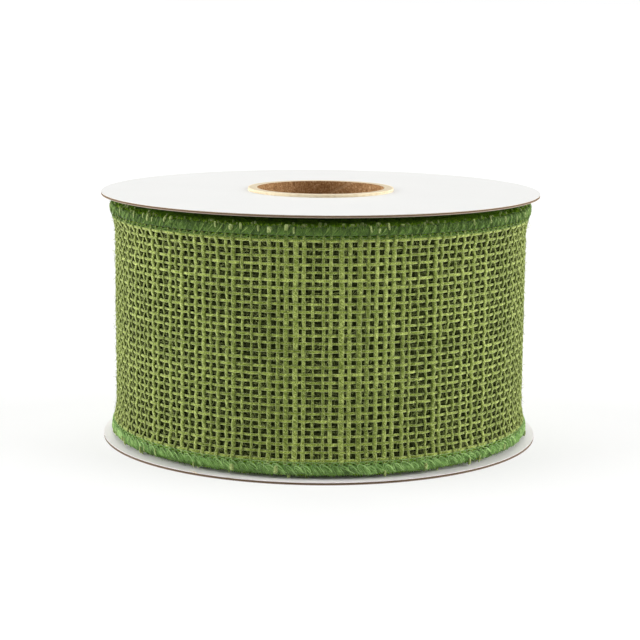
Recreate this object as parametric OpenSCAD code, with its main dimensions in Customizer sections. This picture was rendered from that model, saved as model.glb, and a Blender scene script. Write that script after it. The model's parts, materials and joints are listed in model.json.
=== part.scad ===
// Ribbon spool: a wired-edge woven ribbon wound on a paper tube between two flat card flanges.
// Origin at the centre of the lower flange's underside, +Z along the tube. Millimetres and degrees.

/* [Flanges] */
// Diameter of both flanges
flange_d = 122; // [100:1:160]
// Thickness of one chipboard ply; each flange is two plies glued face to face
flange_ply_t = 0.26; // [0.2:0.01:0.6]
// Thickness of the white paper on the outside and the inside of each flange
flange_liner_t = 0.1; // [0.06:0.01:0.2]

/* [Core tube] */
// Bore of the tube, where a spindle goes
core_bore = 35; // [20:0.5:50]
// Thickness of the brown kraft ply inside the tube
core_liner_t = 0.3; // [0.2:0.05:0.6]
// Thickness of the tube's board plies together
core_board_t = 2.2; // [1:0.1:4]
// Thickness of the tube's outer wrap
core_wrap_t = 0.3; // [0.2:0.05:0.6]
// How far the tube stands out of the upper flange; its other end is flush with the lower one
core_proud = 0.75; // [0.2:0.05:3]

/* [Ribbon] */
// Width of the ribbon over its two bound edges
ribbon_w = 63.5; // [38:0.5:100]
// Thickness of the woven cloth
cloth_t = 0.9; // [0.6:0.05:1.4]
// Height of the band of overlock thread along each edge
selvage_h = 3; // [2:0.1:5]
// How much the thread adds on each face of the cloth
thread_t = 0.15; // [0.08:0.01:0.3]
// Diameter of the wire inside each edge
wire_d = 0.5; // [0.3:0.05:0.8]
// How far the edges stand out from the middle of the outermost turn
edge_flare = 1.1; // [0.2:0.1:2]
// Height over which the cloth leans out to each edge
flare_h = 8; // [4:0.5:12]

/* [Room around the ribbon] */
// Rim of the flange left outside the cloth of the outermost turn
rim_margin = 3.6; // [2:0.1:10]
// Gap between the ribbon and the upper flange
gap_above = 2.6; // [0.5:0.1:5]
// Gap between the ribbon and the lower flange
gap_below = 1.3; // [0.5:0.1:5]

/* [Free end] */
// Where the free end starts to lift off the roll, measured round from +X
tail_start = 62; // [0:1:300]
// Angle that each of the three segments of the free end covers
tail_step = 18.6; // [12:0.2:24]
// Radial clearance between the edges of the free end and the turn below
tail_clear = 0.25; // [0.15:0.05:0.6]
// Gap between neighbouring segments
segment_gap = 0.3; // [0.2:0.05:0.6]

/* [Adhesive tape] */
// Thickness of both pieces of tape
tape_t = 0.1; // [0.06:0.01:0.2]
// Width of the tape on the free end
tape_w = 19; // [12:1:30]
// Length of that tape stuck on the free end
tape_on_tail = 11; // [6:0.5:15]
// Length of that tape beyond the free end
tape_on_roll = 13; // [8:0.5:25]
// Clearance between that tape and the roll, because the two move apart
tape_clear = 0.2; // [0.15:0.05:0.4]
// Width of the tape that holds the ribbon's start on the tube
start_tape_w = 40; // [20:1:60]
// Angle that the start tape covers on the tube
start_tape_turn = 80; // [30:1:180]

/* [Hidden] */
$fn = 144;
flange_r = flange_d / 2;
flange_t = 2 * flange_ply_t + 2 * flange_liner_t;
bore_r = core_bore / 2;
core_board_r = bore_r + core_liner_t;
core_wrap_r = core_board_r + core_board_t;
core_r = core_wrap_r + core_wrap_t;
wound_r = core_r + tape_t;
ribbon_z0 = flange_t + gap_below;
ribbon_z1 = ribbon_z0 + ribbon_w;
ribbon_mid_z = (ribbon_z0 + ribbon_z1) / 2;
upper_z = ribbon_z1 + gap_above;
core_len = upper_z + flange_t + core_proud;

// Outermost turn: radii of the cloth's outer face and middle, and of the bead that binds its edge
roll_r = flange_r - rim_margin;
cloth_r = roll_r - cloth_t / 2;
bead_t = max(cloth_t, wire_d) + 2 * thread_t;
bead_r = cloth_r + edge_flare;
wire_z = bead_t / 2;
cloth_edge_z = wire_z + wire_d / 2 + thread_t;

// The free end lies one bead farther out
tail_lift = bead_t + tail_clear;
tail_face_r = roll_r + tail_lift;
hinge_r = bead_r + tail_lift + bead_t / 2;
gap_turn = 2 * asin(segment_gap / 2 / (bead_r + tail_lift));
tail_end = tail_start + 3 * tail_step;

// Tape on the free end: where the cloth ends, then the angles of its three stretches
tape_steps = 8;
tape_end_turn = tail_end - gap_turn / 2;
tape_on_turn = tape_on_tail / roll_r * 180 / PI;
tape_off_turn = tape_on_roll / roll_r * 180 / PI;
tape_drop_turn = 2 * asin((tail_face_r - roll_r) / 2 / roll_r);

// Middle line of the strip's section: [distance out from cloth_r, height above the lower edge]
strip_line = [
    [edge_flare, cloth_edge_z],
    [edge_flare, selvage_h],
    [0, selvage_h + flare_h],
    [0, ribbon_w - selvage_h - flare_h],
    [edge_flare, ribbon_w - selvage_h],
    [edge_flare, ribbon_w - cloth_edge_z]
];
last_point = len(strip_line) - 1;

WHITE = [0.96, 0.96, 0.94];
CHIPBOARD = [0.60, 0.51, 0.42];
KRAFT = [0.45, 0.33, 0.21];
CREAM = [0.89, 0.83, 0.73];
TAN = [0.78, 0.70, 0.56];
JUTE_GREEN = [0.50, 0.57, 0.31];
THREAD_GREEN = [0.38, 0.56, 0.29];
STEEL = [0.70, 0.71, 0.72];
TAPE = [0.90, 0.88, 0.80, 0.6];

// ---- shapes used more than once ----

module tube(r_out, r_in, z, h) {
    translate([0, 0, z])
        difference() {
            cylinder(r = r_out, h = h);
            translate([0, 0, -1]) cylinder(r = r_in, h = h + 2);
        }
}

module flange_layer(z, t) {
    tube(flange_r, core_r, z, t);
}

// Sweeps a section round the tube's axis between two angles
module sweep(from, to) {
    rotate([0, 0, from]) rotate_extrude(angle = to - from) children();
}

module full_turn() {
    rotate_extrude() children();
}

// Section of the cloth, with its middle line moved out by lift
module cloth_section(lift) {
    translate([cloth_r + lift, ribbon_z0])
        polygon(concat(
            [for (p = strip_line) [p[0] + cloth_t / 2, p[1]]],
            [for (i = [last_point:-1:0]) [strip_line[i][0] - cloth_t / 2, strip_line[i][1]]]
        ));
}

// Places a section that is drawn at the lower edge at either edge of the ribbon
module at_edge(upper) {
    translate([0, upper ? ribbon_z1 : ribbon_z0])
        mirror([0, upper ? 1 : 0])
            children();
}

module wire_section(lift, upper) {
    at_edge(upper) translate([bead_r + lift, wire_z]) circle(d = wire_d);
}

// Overlock thread: round over the wire, then flat down both faces of the cloth
module thread_section(lift, upper) {
    difference() {
        at_edge(upper) {
            translate([bead_r + lift, wire_z]) circle(d = bead_t);
            translate([bead_r + lift - bead_t / 2, wire_z]) square([bead_t, selvage_h - wire_z]);
        }
        wire_section(lift, upper);
        cloth_section(lift);
    }
}

// ---- flanges and tube ----

module lower_flange_outer_liner() {
    color(WHITE) flange_layer(0, flange_liner_t);
}

module lower_flange_outer_board() {
    color(CHIPBOARD) flange_layer(flange_liner_t, flange_ply_t);
}

module lower_flange_inner_board() {
    color(CHIPBOARD) flange_layer(flange_liner_t + flange_ply_t, flange_ply_t);
}

module lower_flange_inner_liner() {
    color(WHITE) flange_layer(flange_liner_t + 2 * flange_ply_t, flange_liner_t);
}

module upper_flange_inner_liner() {
    color(WHITE) flange_layer(upper_z, flange_liner_t);
}

module upper_flange_inner_board() {
    color(CHIPBOARD) flange_layer(upper_z + flange_liner_t, flange_ply_t);
}

module upper_flange_outer_board() {
    color(CHIPBOARD) flange_layer(upper_z + flange_liner_t + flange_ply_t, flange_ply_t);
}

module upper_flange_outer_liner() {
    color(WHITE) flange_layer(upper_z + flange_liner_t + 2 * flange_ply_t, flange_liner_t);
}

module core_kraft_liner() {
    color(KRAFT) tube(core_board_r, bore_r, 0, core_len);
}

module core_board() {
    color(CREAM) tube(core_wrap_r, core_board_r, 0, core_len);
}

module core_outer_wrap() {
    color(TAN) tube(core_r, core_wrap_r, 0, core_len);
}

module start_tape() {
    color(TAPE)
        sweep(0, start_tape_turn)
            translate([core_r, ribbon_mid_z - start_tape_w / 2]) square([tape_t, start_tape_w]);
}

// ---- ribbon below the outermost turn ----

module wound_cloth() {
    inner_face = cloth_r - cloth_t / 2;
    color(JUTE_GREEN)
        full_turn()
            translate([0, ribbon_z0])
                polygon([
                    [wound_r, selvage_h],
                    [inner_face + edge_flare, selvage_h],
                    [inner_face, selvage_h + flare_h],
                    [inner_face, ribbon_w - selvage_h - flare_h],
                    [inner_face + edge_flare, ribbon_w - selvage_h],
                    [wound_r, ribbon_w - selvage_h]
                ]);
}

module wound_selvage(upper) {
    color(THREAD_GREEN)
        full_turn()
            at_edge(upper)
                translate([wound_r, 0]) square([bead_r - bead_t / 2 - wound_r, selvage_h]);
}

// ---- outermost turn ----

module outer_turn_cloth() {
    color(JUTE_GREEN) full_turn() cloth_section(0);
}

module outer_turn_thread(upper) {
    color(THREAD_GREEN) full_turn() thread_section(0, upper);
}

module outer_turn_wire(upper) {
    color(STEEL) full_turn() wire_section(0, upper);
}

// ---- free end, in three hinged segments: 0 at its root, 1 in the middle, 2 at its tip ----

module tail_segment(i) {
    sweep(tail_start + i * tail_step + gap_turn / 2, tail_start + (i + 1) * tail_step - gap_turn / 2)
        children();
}

module tail_cloth(i) {
    color(JUTE_GREEN) tail_segment(i) cloth_section(tail_lift);
}

module tail_thread(i, upper) {
    color(THREAD_GREEN) tail_segment(i) thread_section(tail_lift, upper);
}

module tail_wire(i, upper) {
    color(STEEL) tail_segment(i) wire_section(tail_lift, upper);
}

function on_circle(r, turn) = [r * cos(turn), r * sin(turn)];

// Outline of one face of the tape: along the free end's cloth, then along the roll beyond it.
// Its corners stand out by out, and on the cloth the flats between them just touch it.
function tape_face(out) = concat(
    [for (k = [0:tape_steps])
        on_circle(tail_face_r / cos(tape_on_turn / tape_steps / 2) + out,
            tape_end_turn - tape_on_turn * (1 - k / tape_steps))],
    [for (k = [0:tape_steps])
        on_circle(roll_r + tape_clear + out, tape_end_turn + tape_drop_turn + tape_off_turn * k / tape_steps)]
);

// Tape from the face of the free end down to the roll beyond it
module tail_tape() {
    inner_face = tape_face(0);
    outer_face = tape_face(tape_t);
    color(TAPE)
        translate([0, 0, ribbon_mid_z - tape_w / 2])
            linear_extrude(tape_w)
                polygon(concat(
                    outer_face,
                    [for (i = [len(inner_face) - 1:-1:0]) inner_face[i]]
                ));
}

// ---- one line for each node ----

lower_flange_outer_liner();
lower_flange_outer_board();
lower_flange_inner_board();
lower_flange_inner_liner();
upper_flange_inner_liner();
upper_flange_inner_board();
upper_flange_outer_board();
upper_flange_outer_liner();
core_kraft_liner();
core_board();
core_outer_wrap();
start_tape();
wound_cloth();
wound_selvage(false);  // wound_lower_selvage
wound_selvage(true);  // wound_upper_selvage
outer_turn_cloth();
outer_turn_thread(false);  // outer_turn_lower_thread
outer_turn_thread(true);  // outer_turn_upper_thread
outer_turn_wire(false);  // outer_turn_lower_wire
outer_turn_wire(true);  // outer_turn_upper_wire
tail_cloth(0);  // tail_root_cloth
tail_thread(0, false);  // tail_root_lower_thread
tail_thread(0, true);  // tail_root_upper_thread
tail_wire(0, false);  // tail_root_lower_wire
tail_wire(0, true);  // tail_root_upper_wire
tail_cloth(1);  // tail_middle_cloth
tail_thread(1, false);  // tail_middle_lower_thread
tail_thread(1, true);  // tail_middle_upper_thread
tail_wire(1, false);  // tail_middle_lower_wire
tail_wire(1, true);  // tail_middle_upper_wire
tail_cloth(2);  // tail_tip_cloth
tail_thread(2, false);  // tail_tip_lower_thread
tail_thread(2, true);  // tail_tip_upper_thread
tail_wire(2, false);  // tail_tip_lower_wire
tail_wire(2, true);  // tail_tip_upper_wire
tail_tape();
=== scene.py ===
import json
import math

import bmesh
import bpy
from mathutils import Matrix, Vector


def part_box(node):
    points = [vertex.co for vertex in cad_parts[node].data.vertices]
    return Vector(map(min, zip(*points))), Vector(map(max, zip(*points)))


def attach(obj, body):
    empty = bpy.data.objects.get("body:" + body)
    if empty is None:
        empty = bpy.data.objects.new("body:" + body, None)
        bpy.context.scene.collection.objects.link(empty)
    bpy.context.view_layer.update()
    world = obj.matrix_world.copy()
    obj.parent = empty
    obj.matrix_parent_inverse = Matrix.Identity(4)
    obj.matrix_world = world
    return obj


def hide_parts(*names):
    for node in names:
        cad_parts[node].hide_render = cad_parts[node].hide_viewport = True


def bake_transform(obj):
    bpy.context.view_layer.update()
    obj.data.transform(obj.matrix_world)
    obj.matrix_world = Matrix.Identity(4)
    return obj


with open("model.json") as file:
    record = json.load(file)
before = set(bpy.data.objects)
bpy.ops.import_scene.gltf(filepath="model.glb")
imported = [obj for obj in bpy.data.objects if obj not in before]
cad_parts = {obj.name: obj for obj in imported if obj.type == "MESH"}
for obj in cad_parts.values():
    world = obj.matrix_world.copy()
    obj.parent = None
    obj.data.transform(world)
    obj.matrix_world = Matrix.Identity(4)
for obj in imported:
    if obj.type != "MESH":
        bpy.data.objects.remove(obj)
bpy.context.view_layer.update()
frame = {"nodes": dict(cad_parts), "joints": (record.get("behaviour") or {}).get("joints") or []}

mm = 0.001
scene = bpy.context.scene


# Small helpers for node trees

class Num:
    # One number in a node tree, so that a sum of nodes reads like a sum
    def __init__(self, tree, socket):
        self.tree = tree
        self.socket = socket

    def calc(self, operation, *others):
        node = self.tree.nodes.new("ShaderNodeMath")
        node.operation = operation
        for slot, value in zip(node.inputs, (self, *others)):
            feed(self.tree, slot, value)
        return Num(self.tree, node.outputs[0])

    def __add__(self, other):
        return self.calc("ADD", other)

    def __mul__(self, other):
        return self.calc("MULTIPLY", other)

    def __sub__(self, other):
        return self.calc("SUBTRACT", other)

    def __rsub__(self, other):
        return self.calc("MULTIPLY", -1.0) + other

    def __truediv__(self, other):
        return self.calc("DIVIDE", other)

    def __pow__(self, other):
        return self.calc("POWER", other)

    __radd__ = __add__
    __rmul__ = __mul__

    def cos(self):
        return self.calc("COSINE")

    def sin(self):
        return self.calc("SINE")

    def least(self, other):
        return self.calc("MINIMUM", other)

    def most(self, other):
        return self.calc("MAXIMUM", other)

    def absolute(self):
        return self.calc("ABSOLUTE")

    def floor(self):
        return self.calc("FLOOR")

    def chance(self, seed):
        # One random number from 0 to 1 for each value of this one
        place = vector(self.tree, self, seed, 0.5)
        node = add(self.tree, "ShaderNodeTexWhiteNoise", {"Vector": place})
        return Num(self.tree, node.outputs["Value"])

    def jitter(self, seed, reach):
        # As chance, from minus to plus half of reach
        return (self.chance(seed) - 0.5) * reach

    def ramp(self, low, high, outLow=0.0, outHigh=1.0):
        # Smooth, from outLow at low to outHigh at high
        node = add(self.tree, "ShaderNodeMapRange",
                   {"Value": self, "From Min": low, "From Max": high,
                    "To Min": outLow, "To Max": outHigh},
                   interpolation_type="SMOOTHSTEP")
        return Num(self.tree, node.outputs["Result"])


def feed(tree, slot, value):
    # Links a node's output to a slot, or types the value into it
    if isinstance(value, Num):
        tree.links.new(value.socket, slot)
    elif isinstance(value, bpy.types.NodeSocket):
        tree.links.new(value, slot)
    else:
        slot.default_value = value


def add(tree, kind, feeds=None, **settings):
    node = tree.nodes.new(kind)
    for key, value in settings.items():
        setattr(node, key, value)
    for key, value in (feeds or {}).items():
        feed(tree, node.inputs[key], value)
    return node


def vector(tree, x, y, z):
    return add(tree, "ShaderNodeCombineXYZ", {0: x, 1: y, 2: z}).outputs[0]


def split(tree, socket):
    node = add(tree, "ShaderNodeSeparateXYZ", {0: socket})
    return [Num(tree, output) for output in node.outputs]


def number(tree, value):
    # A plain value as a Num, or the Num it is already
    if isinstance(value, Num):
        return value
    return Num(tree, add(tree, "ShaderNodeMath", {0: value, 1: 0.0}).outputs[0])


def noise(tree, place, scale=1.0, detail=1.0, rough=0.5):
    # Smooth noise, from about -1 to 1
    node = add(tree, "ShaderNodeTexNoise", {"Vector": place, "Scale": scale, "Detail": detail,
                                            "Roughness": rough})
    return (Num(tree, node.outputs["Fac"]) - 0.5) * 2.0


def store(tree, mesh, name, value, kind="FLOAT", domain="POINT"):
    return add(tree, "GeometryNodeStoreNamedAttribute",
               {"Geometry": mesh, "Name": name, "Value": value},
               data_type=kind, domain=domain).outputs[0]


def recall(tree, name, kind="FLOAT"):
    return add(tree, "GeometryNodeInputNamedAttribute", {"Name": name}, data_type=kind).outputs[0]


def newTree(name, sizes, takesGeometry=False):
    # A Geometry Nodes tree with one named input for each of sizes
    tree = bpy.data.node_groups.new(name, "GeometryNodeTree")
    tree.interface.new_socket("Geometry", in_out="OUTPUT", socket_type="NodeSocketGeometry")
    if takesGeometry:
        tree.interface.new_socket("Geometry", in_out="INPUT", socket_type="NodeSocketGeometry")
    for key, value in sizes.items():
        kind = "NodeSocketInt" if isinstance(value, int) else "NodeSocketFloat"
        socket = tree.interface.new_socket(key, in_out="INPUT", socket_type=kind)
        socket.default_value = value
    inputs = tree.nodes.new("NodeGroupInput")
    return tree, inputs, {key: Num(tree, inputs.outputs[key]) for key in sizes}


def runTree(tree, name, values=None):
    # Evaluates a tree on an empty object and keeps the result as a plain mesh
    piece = bpy.data.objects.new(name, bpy.data.meshes.new(name))
    scene.collection.objects.link(piece)
    modifier = piece.modifiers.new("Build", "NODES")
    modifier.node_group = tree
    identifiers = {item.name: item.identifier for item in tree.interface.items_tree
                   if item.in_out == "INPUT"}
    for key, value in (values or {}).items():
        modifier[identifiers[key]] = value
    evaluated = piece.evaluated_get(bpy.context.evaluated_depsgraph_get())
    mesh = bpy.data.meshes.new_from_object(evaluated)
    piece.modifiers.remove(modifier)
    piece.data = mesh
    mesh.name = name
    return piece


# Camera, floor and light

view = {
    "target": (0.09, 0.0, 31.9), "distance": 522.2, "elevation": 9.93,
    "lens": 103.76, "roll": 0.455,
    "skyStrength": 0.1, "sidePower": 4.2, "backPower": 1.8, "floorGlow": 0.635,
    "sideAngle": 55, "backAngle": 65,
}


def makeCamera():
    data = bpy.data.cameras.new("studioCamera")
    data.lens = view["lens"]
    data.sensor_width = 36.0
    data.clip_start = 0.01
    camera = bpy.data.objects.new("studioCamera", data)
    scene.collection.objects.link(camera)
    tilt = math.radians(view["elevation"])
    away = Vector((0.0, -math.cos(tilt), math.sin(tilt))) * view["distance"]
    place = Matrix.Translation((Vector(view["target"]) + away) * mm)
    turn = Matrix.Rotation(math.pi / 2 - tilt, 4, "X")
    roll = Matrix.Rotation(math.radians(view["roll"]), 4, "Z")
    camera.matrix_world = place @ turn @ roll
    scene.camera = camera


def makeSoftLight(name, place, power, angle):
    # A wide soft lamp, far enough away to light the whole floor alike
    data = bpy.data.lights.new(name, "SUN")
    data.angle = math.radians(angle)
    data.energy = power
    light = bpy.data.objects.new(name, data)
    scene.collection.objects.link(light)
    light.location = place
    light.rotation_euler = (-Vector(place)).to_track_quat("-Z", "Y").to_euler()


def makeSky():
    sky = bpy.data.worlds.new("studioSky")
    sky.use_nodes = True
    tree = sky.node_tree
    light = tree.nodes["Background"]
    light.inputs["Color"].default_value = (1.0, 1.0, 1.0, 1.0)
    light.inputs["Strength"].default_value = view["skyStrength"]
    wall = add(tree, "ShaderNodeBackground", {"Color": (1.0, 1.0, 1.0, 1.0), "Strength": 1.0})
    seen = add(tree, "ShaderNodeLightPath").outputs["Is Camera Ray"]
    either = add(tree, "ShaderNodeMixShader", {0: seen, 1: light.outputs[0], 2: wall.outputs[0]})
    tree.links.new(either.outputs[0], tree.nodes["World Output"].inputs["Surface"])
    scene.world = sky


makeCamera()
makeSky()
makeSoftLight("leftLight", (-2.8, -0.2, 0.8), view["sidePower"], view["sideAngle"])
makeSoftLight("rightLight", (2.8, -0.2, 0.8), view["sidePower"], view["sideAngle"])
makeSoftLight("backLight", (-0.1, 2.1, 2.7), view["backPower"], view["backAngle"])
scene.view_settings.view_transform = "Standard"
print("camera and light")


# The roll, measured on the frame

joints = {joint["name"]: joint for joint in frame["joints"]}
rootHinge = Vector(joints["tail_root_peel"]["pos_m"])
middleHinge = Vector(joints["tail_middle_peel"]["pos_m"])
tipHinge = Vector(joints["tail_tip_peel"]["pos_m"])
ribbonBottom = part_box("outer_turn_lower_thread")[0].z / mm
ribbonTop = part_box("outer_turn_upper_thread")[1].z / mm
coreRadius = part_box("core_outer_wrap")[1].x / mm
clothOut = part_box("outer_turn_cloth")[1].x / mm


def turnOf(point):
    return math.degrees(math.atan2(point.y, point.x))


roll = {
    "edgeFlare": 1.1,       # how far the edges stand out from the middle of the cloth
    "flareHeight": 8.5,
    "clothThickness": 0.9,
    "turnLift": 0.97,       # from one turn to the next
    "tailLift": 1.45,       # of the free end over the turn below it
    "rampAngle": 14.0,      # over which the free end rises
    "yarnsPerTurn": 155.6,
    "wire": 0.5, "wiresFromEdge": 0.55,
}
clothRadius = clothOut - roll["edgeFlare"] - roll["clothThickness"] / 2
ribbonWidth = ribbonTop - ribbonBottom
rootAngle = turnOf(rootHinge)
stepAngle = turnOf(middleHinge) - rootAngle
endAngle = rootAngle + 3 * stepAngle
weftPitch = 2 * math.pi * clothRadius / roll["yarnsPerTurn"]


def makeWrapTree():
    # Lays flat work on the roll. Flat X runs along the ribbon from its free end, Y across it
    # from its lower edge and Z outwards from the middle of the cloth.
    tree, inputs, size = newTree("Wrap On Roll", {
        "Roll Radius": clothRadius, "End Angle": endAngle, "Root Angle": rootAngle,
        "Ramp Angle": roll["rampAngle"], "Tail Lift": roll["tailLift"],
        "Turn Lift": roll["turnLift"], "Edge Flare": roll["edgeFlare"],
        "Flare Height": roll["flareHeight"], "Ribbon Width": ribbonWidth,
        "Ribbon Bottom": ribbonBottom,
    }, takesGeometry=True)
    place = add(tree, "GeometryNodeInputPosition").outputs[0]
    x, y, z = split(tree, place)
    angle = x / size["Roll Radius"] * (180 / math.pi) + size["End Angle"]
    rampEnd = size["Root Angle"] + size["Ramp Angle"]
    onTail = angle.ramp(size["Root Angle"], rampEnd)
    turnsIn = (rampEnd - angle) / 360.0
    wholeTurns = turnsIn.floor()
    step = ((turnsIn - wholeTurns) * 360.0).ramp(0.0, size["Ramp Angle"])
    below = (wholeTurns - 1.0 + step).most(0.0)
    lift = onTail * size["Tail Lift"] - below * size["Turn Lift"]
    fromEdge = y.least(size["Ribbon Width"] - y).most(0.0)
    share = (fromEdge / size["Flare Height"]).least(1.0)
    flare = ((share * math.pi).cos() + 1.0) * 0.5 * size["Edge Flare"]
    radius = (size["Roll Radius"] + lift + flare + z) * mm
    turn = angle * (math.pi / 180)
    wrapped = vector(tree, radius * turn.cos(), radius * turn.sin(),
                     (size["Ribbon Bottom"] + y) * mm)
    moved = add(tree, "GeometryNodeSetPosition",
                {"Geometry": inputs.outputs["Geometry"], "Position": wrapped})
    smooth = add(tree, "GeometryNodeSetShadeSmooth", {"Geometry": moved.outputs[0]})
    out = tree.nodes.new("NodeGroupOutput")
    tree.links.new(smooth.outputs[0], out.inputs[0])
    return tree


wrapTree = makeWrapTree()


def closeTree(tree, parts, material, wrapped=True):
    # Joins the parts, lays them on the roll, sets the material and ends the tree
    joined = add(tree, "GeometryNodeJoinGeometry")
    for part in reversed(parts):
        tree.links.new(part, joined.inputs[0])
    last = joined.outputs[0]
    if wrapped:
        last = add(tree, "GeometryNodeGroup", {"Geometry": last}, node_tree=wrapTree).outputs[0]
    last = add(tree, "GeometryNodeRealizeInstances", {"Geometry": last}).outputs[0]
    if material:
        last = add(tree, "GeometryNodeSetMaterial",
                   {"Geometry": last, "Material": material}).outputs[0]
    out = tree.nodes.new("NodeGroupOutput")
    tree.links.new(last, out.inputs[0])


def strands(tree, count, samples, place, thickness, width, height, sides, tint,
            band=(0.0, 1.0), columns=1.0, normals="Z_UP"):
    # count strands of samples points each. place(strand, share) gives a point as three Nums, and
    # thickness(strand, share) a factor on the section, which is width by height. The bake map
    # lays them side by side in this many columns, within a band of its height.
    index = Num(tree, add(tree, "GeometryNodeInputIndex").outputs[0])
    strand = ((index + 0.5) / samples).floor()
    share = (index - strand * samples) / (samples - 1.0)
    points = add(tree, "GeometryNodePoints", {"Count": number(tree, count) * samples}).outputs[0]
    x, y, z = place(strand, share)
    column = strand.calc("FLOORED_MODULO", columns)
    row = (strand / columns).floor()
    rowCount = (number(tree, count) / columns).calc("CEIL")
    placed = add(tree, "GeometryNodeSetPosition",
                 {"Geometry": points, "Position": vector(tree, x, y, z)}).outputs[0]
    carried = {"thick": thickness(strand, share), "tint": tint(strand), "along": x + y,
               "mapAlong": (column + 0.02 + share * 0.96) / columns, "mapRow": row}
    for key, value in carried.items():
        placed = store(tree, placed, key, value)
    group = add(tree, "FunctionNodeFloatToInt", {0: strand}).outputs[0]
    lines = add(tree, "GeometryNodePointsToCurves",
                {"Points": placed, "Curve Group ID": group}).outputs[0]
    lines = add(tree, "GeometryNodeSetCurveNormal", {"Curve": lines}, mode=normals).outputs[0]
    rim = add(tree, "GeometryNodeCurvePrimitiveCircle", {"Resolution": sides, "Radius": 1.0},
              mode="RADIUS").outputs[0]
    corner = Num(tree, add(tree, "GeometryNodeInputIndex").outputs[0])
    rim = store(tree, rim, "rim", add(tree, "GeometryNodeInputPosition").outputs[0], "FLOAT_VECTOR")
    rim = store(tree, rim, "around", corner / sides)
    rim = add(tree, "GeometryNodeTransform",
              {"Geometry": rim, "Scale": vector(tree, width * 0.5, height * 0.5, 1.0)}).outputs[0]
    named = {key: Num(tree, recall(tree, key))
             for key in ("thick", "along", "around", "mapAlong", "mapRow")}
    mesh = add(tree, "GeometryNodeCurveToMesh",
               {"Curve": lines, "Profile Curve": rim, "Scale": named["thick"],
                "Fill Caps": True}).outputs[0]
    rimX, rimY, rimZ = split(tree, recall(tree, "rim", "FLOAT_VECTOR"))
    mesh = store(tree, mesh, "fibre", vector(tree, rimX, rimY, named["along"]), "FLOAT_VECTOR")
    faceMean = Num(tree, add(tree, "GeometryNodeFieldOnDomain", {0: named["around"]},
                             data_type="FLOAT", domain="FACE").outputs[0])
    turned = named["around"] + (faceMean - named["around"]).calc("GREATER_THAN", 0.3)
    across = (named["mapRow"] + 0.04 + turned * 0.92) / rowCount
    across = across * (band[1] - band[0]) + band[0]
    mesh = store(tree, mesh, "OFBake", vector(tree, named["mapAlong"], across, 0.0),
                 "FLOAT2", "CORNER")
    for key in ("rim", *named):
        mesh = add(tree, "GeometryNodeRemoveAttribute", {"Geometry": mesh, "Name": key}).outputs[0]
    return mesh


def evenly(strand, share):
    # The thickness of a strand that is the same all along
    return 1.0


# Finishes

def paint(red, green, blue):
    # An 8-bit screen colour as the linear one that shaders take
    linear = []
    for part in (red, green, blue):
        part = part / 255
        linear.append(part / 12.92 if part <= 0.04045 else ((part + 0.055) / 1.055) ** 2.4)
    return (*linear, 1.0)


def newMaterial(name, **settings):
    material = bpy.data.materials.new(name)
    material.use_nodes = True
    tree = material.node_tree
    shader = tree.nodes["Principled BSDF"]
    for key, value in settings.items():
        shader.inputs[key.replace("_", " ")].default_value = value
    return material, tree, shader


def objectPlace(tree):
    return add(tree, "ShaderNodeTexCoord").outputs["Object"]


def colourSteps(tree, factor, *steps, shade=1.0):
    # A ramp through (position, screen colour) steps. shade scales the colours.
    node = add(tree, "ShaderNodeValToRGB", {"Fac": factor})
    stops = node.color_ramp.elements
    while len(stops) < len(steps):
        stops.new(0.5)
    for stop, (position, colour) in zip(stops, steps):
        stop.position = position
        stop.color = paint(*(part * shade for part in colour))
    return node.outputs["Color"]


def blendColours(tree, factor, first, second):
    node = add(tree, "ShaderNodeMix", {0: factor, 6: first, 7: second}, data_type="RGBA")
    return node.outputs[2]


def finish(tree, shader, colour, height, strength, distance):
    # Ends a material with its colour and its bump
    tree.links.new(colour, shader.inputs["Base Color"])
    bump = add(tree, "ShaderNodeBump", {"Height": height, "Strength": strength,
                                        "Distance": distance})
    tree.links.new(bump.outputs[0], shader.inputs["Normal"])


def fibrePlace(tree, twist, across, along):
    # A place on a strand that runs round it as its fibres are twisted
    fibre = add(tree, "ShaderNodeAttribute", attribute_name="fibre")
    around, side, length = split(tree, fibre.outputs["Vector"])
    turn = length * twist
    turnedX = around * turn.cos() - side * turn.sin()
    turnedY = side * turn.cos() + around * turn.sin()
    return vector(tree, turnedX * across, turnedY * across, length * along)


jute = {
    "twist": 2.6,           # radians per mm
    "weft": ((42, 54, 0), (104, 123, 27), (196, 209, 122)),
    "warp": ((48, 62, 0), (114, 135, 29), (206, 221, 122)),
    "cut": ((66, 82, 30), (130, 152, 78), (188, 202, 136)),
}


def makeJute(name, shade, sheen=1.0, kinds=("weft", "warp")):
    # shade scales the colours: below 1 it is painted shade, for cloth that lies deeper in the roll
    material, tree, shader = newMaterial(name, Roughness=0.9, Specular_IOR_Level=0.1,
                                         Sheen_Weight=sheen, Sheen_Roughness=0.55,
                                         Sheen_Tint=(0.92, 1.0, 0.5, 1.0))
    tint = Num(tree, add(tree, "ShaderNodeAttribute", attribute_name="tint").outputs["Fac"])
    isWarp = tint.calc("GREATER_THAN", 0.9999)
    own = tint - isWarp
    streak = noise(tree, fibrePlace(tree, jute["twist"], 1.5, 0.7), 1.0, 3.0, 0.6)
    speck = noise(tree, fibrePlace(tree, jute["twist"], 2.2, 3.1), 1.3, 2.0, 0.6)
    patch = noise(tree, objectPlace(tree), 620.0, 2.0, 0.5)
    wide = noise(tree, objectPlace(tree), 60.0, 1.0, 0.5)
    grain = noise(tree, objectPlace(tree), 3400.0, 2.0, 0.6)
    factor = streak * 0.44 + speck * 0.44 + grain * 0.5 + patch * 0.2 + wide * 0.06
    factor = factor + own * 0.16 + 0.42
    colours = []
    for kind in kinds:
        steps = zip((0.18, 0.5, 0.82), jute[kind])
        colours.append(colourSteps(tree, factor, *steps, shade=shade))
    height = streak * 0.6 + speck * 0.2 + grain * 0.2
    finish(tree, shader, blendColours(tree, isWarp, *colours), height, 0.9, 0.00018)
    return material


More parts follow.
